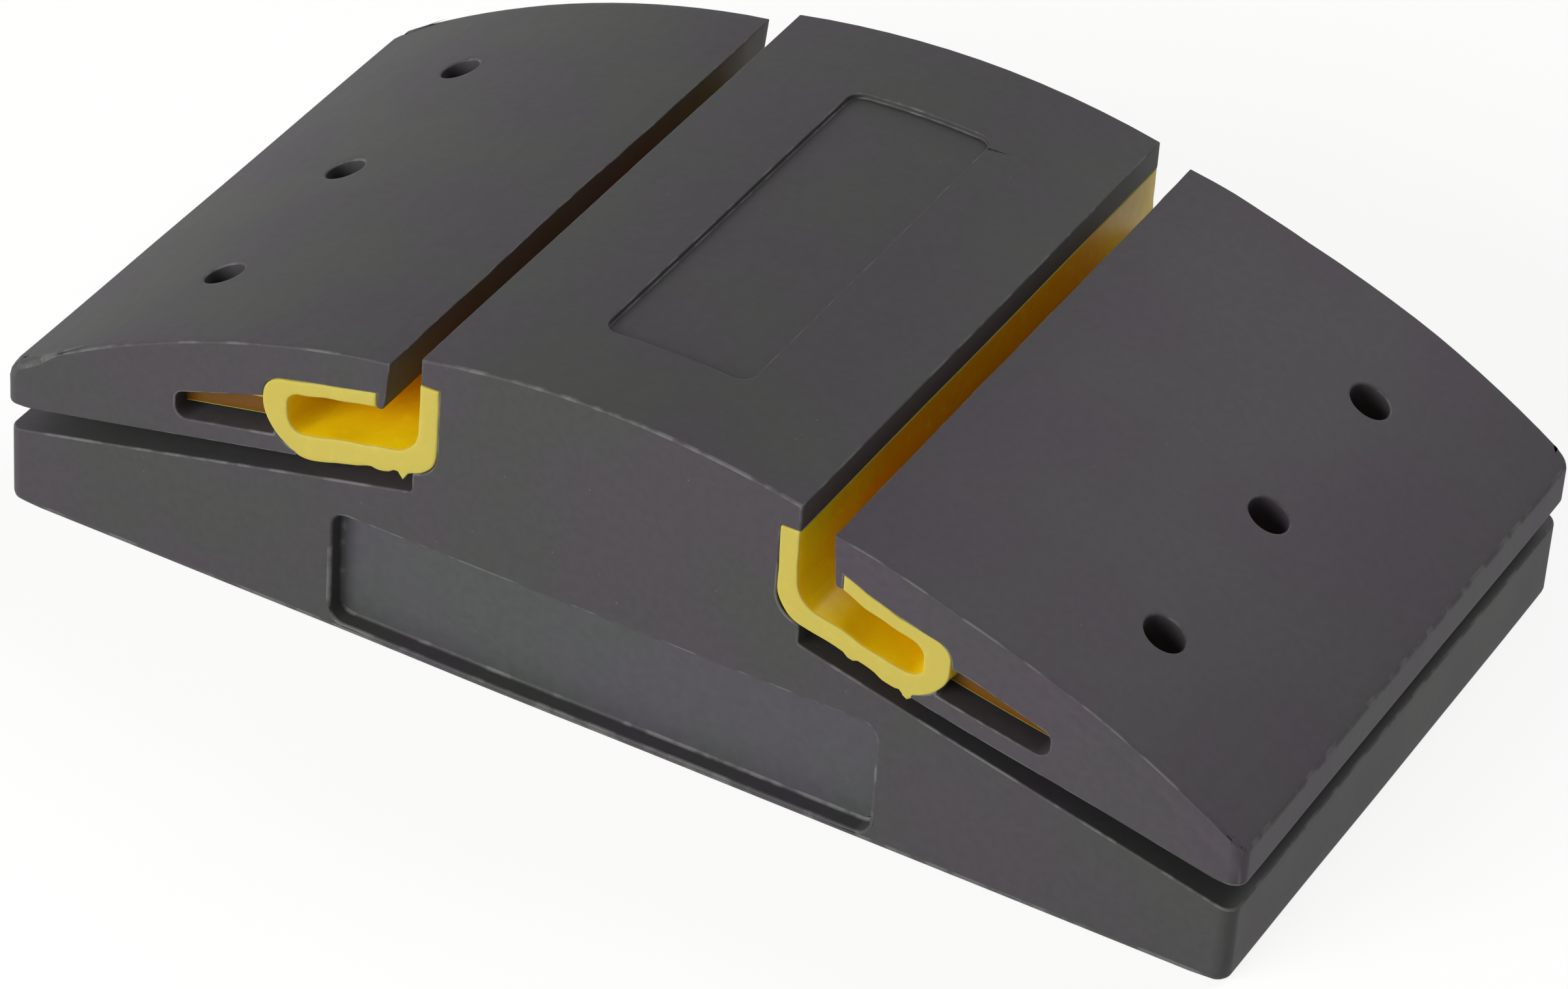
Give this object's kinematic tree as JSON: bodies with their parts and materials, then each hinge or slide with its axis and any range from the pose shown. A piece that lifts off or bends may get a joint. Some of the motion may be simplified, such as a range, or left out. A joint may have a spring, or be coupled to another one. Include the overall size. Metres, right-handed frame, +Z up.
{
  "type": "hand sanding block",
  "caption": "Rubber hand sanding block with a domed palm crown, sprung end flaps that clamp an abrasive strip on nails, and finger recesses in its sides.",
  "frame": {"origin": "middle of the sole, on the sole's plane", "axes": "+X along the block towards the right-hand flap, +Y across it towards the back, +Z up through the palm crown"},
  "size_m": [0.1308, 0.07, 0.0364],
  "materials": {
    "black_rubber": "moulded black rubber, satin, faint flow marks, thin flash along parting edges and fine dust",
    "yellow_insert": "translucent yellow springy plastic, cut edges paler, slightly lumpy",
    "nail_brass": "dull brass-plated steel tack"
  },
  "bodies": {
    "block": {"core_block": "black_rubber"},
    "left_clamp": {"left_flap": "black_rubber", "left_hinge_channel": "yellow_insert", "left_nail_front": "nail_brass", "left_nail_middle": "nail_brass", "left_nail_back": "nail_brass"},
    "right_clamp": {"right_flap": "black_rubber", "right_hinge_channel": "yellow_insert", "right_nail_front": "nail_brass", "right_nail_middle": "nail_brass", "right_nail_back": "nail_brass"}
  },
  "joints": [
    {"name": "left_flap_hinge", "type": "hinge", "parent": "block", "child": "left_clamp", "pos_m": [-0.022, 0, 0.02206], "axis": [0, 1, 0], "range_deg": [-3, 15], "stiffness_Nm_per_rad": 2, "deforming": ["left_hinge_channel"]},
    {"name": "right_flap_hinge", "type": "hinge", "parent": "block", "child": "right_clamp", "pos_m": [0.022, 0, 0.02206], "axis": [0, -1, 0], "range_deg": [-3, 15], "stiffness_Nm_per_rad": 2, "deforming": ["right_hinge_channel"]}
  ]
}
